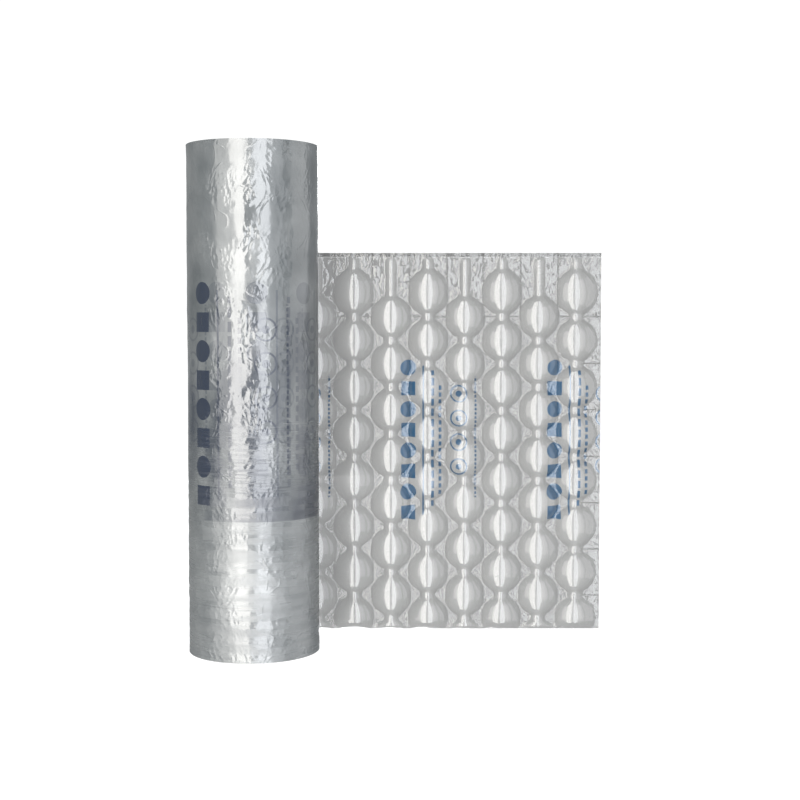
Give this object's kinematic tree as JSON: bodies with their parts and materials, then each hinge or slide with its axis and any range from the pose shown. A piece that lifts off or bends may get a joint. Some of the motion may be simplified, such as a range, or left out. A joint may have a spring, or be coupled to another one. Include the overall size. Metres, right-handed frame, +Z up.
{
  "type": "air pillow film roll",
  "caption": "Wound roll of clear two-ply packing film on a cardboard core, standing on end, whose outer end leaves the back and is blown up into a sheet of round air cells.",
  "frame": {"origin": "the core's axis, at the face of the wound film that the roll stands on", "axes": "+Z up the core's axis; the inflated sheet runs along +X, in a plane behind the roll on its +Y side"},
  "size_m": [0.337, 0.126, 0.4],
  "materials": {
    "core_board": "matte",
    "film": "gloss"
  },
  "bodies": {
    "root": {"core": "core_board", "film_web": "film"}
  },
  "joints": []
}
